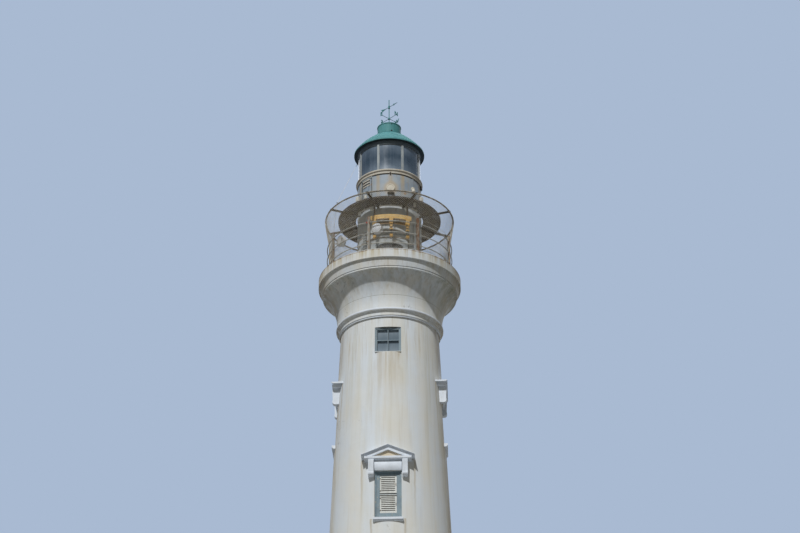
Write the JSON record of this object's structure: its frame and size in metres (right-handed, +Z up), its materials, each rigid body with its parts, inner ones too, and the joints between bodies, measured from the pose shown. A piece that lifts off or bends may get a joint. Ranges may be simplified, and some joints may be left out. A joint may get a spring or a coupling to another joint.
{
  "type": "lighthouse tower",
  "caption": "Round white masonry lighthouse: battered shaft with pedimented louvred windows, coved neck, caged gallery, glazed lantern, green roof and wind vane.",
  "frame": {"origin": "on the tower's axis at ground level, in the plinth's underside", "axes": "+Z up along the axis, -Y out through the entrance and the front windows, +X to the right seen from the front"},
  "size_m": [7.2, 8.1, 29.986],
  "materials": {
    "painted_masonry": "lime-washed render, stained",
    "base_stone": "dressed coral stone",
    "dark_timber": "painted boards",
    "blue_grey_paint": "weathered paint",
    "cream_louvre": "weathered paint",
    "window_glass": "dusty",
    "lantern_glass": "salt-hazed",
    "grey_plate": "weathered grey paint with rust stains",
    "white_bars": "weathered white paint",
    "verdigris": "verdigris copper",
    "rusty_steel": "rusty steel",
    "galvanised": "dull galvanised",
    "yellow_paint": "weathered yellow paint",
    "aerial_plastic": "matt cover",
    "wire": "dull wire"
  },
  "bodies": {
    "tower": {"plinth": "base_stone", "entrance_steps": "base_stone", "base_wall_lower": "painted_masonry", "base_wall_upper": "painted_masonry", "base_cornice": "painted_masonry", "base_cap": "painted_masonry", "entrance_frame": "blue_grey_paint", "entrance_door": "dark_timber", "entrance_hood": "painted_masonry", "shaft_storey_1": "painted_masonry", "shaft_storey_2": "painted_masonry", "shaft_storey_3": "painted_masonry", "shaft_storey_4": "painted_masonry", "shaft_top_storey": "painted_masonry", "window_hoods": "painted_masonry", "window_sills": "painted_masonry", "window_frames": "blue_grey_paint", "window_shutters": "cream_louvre", "top_window_frames": "blue_grey_paint", "top_window_glass": "window_glass", "string_course": "painted_masonry", "gallery_neck": "painted_masonry", "gallery_cornice": "painted_masonry", "gallery_deck": "painted_masonry", "service_room_wall": "grey_plate", "lantern_floor": "grey_plate", "murette": "grey_plate", "murette_hatch": "grey_plate", "lantern_ledge": "grey_plate", "lantern_mullions": "white_bars", "lantern_glass": "lantern_glass", "lantern_head": "white_bars", "roof": "verdigris", "roof_vent": "verdigris", "compass_mast": "verdigris", "upper_walkway": "rusty_steel", "walkway_brackets": "rusty_steel", "cage_ring": "rusty_steel", "railing_posts": "galvanised", "gallery_rails": "galvanised", "equipment_rack": "yellow_paint", "signal_units": "yellow_paint", "drum_aerials": "aerial_plastic", "lightning_wire": "wire"},
    "vane": {"wind_vane": "verdigris"}
  },
  "joints": [
    {"name": "vane_spin", "type": "hinge", "parent": "tower", "child": "vane", "pos_m": [0, 0, 29.63], "axis": [0, 0, 1], "continuous": true}
  ]
}
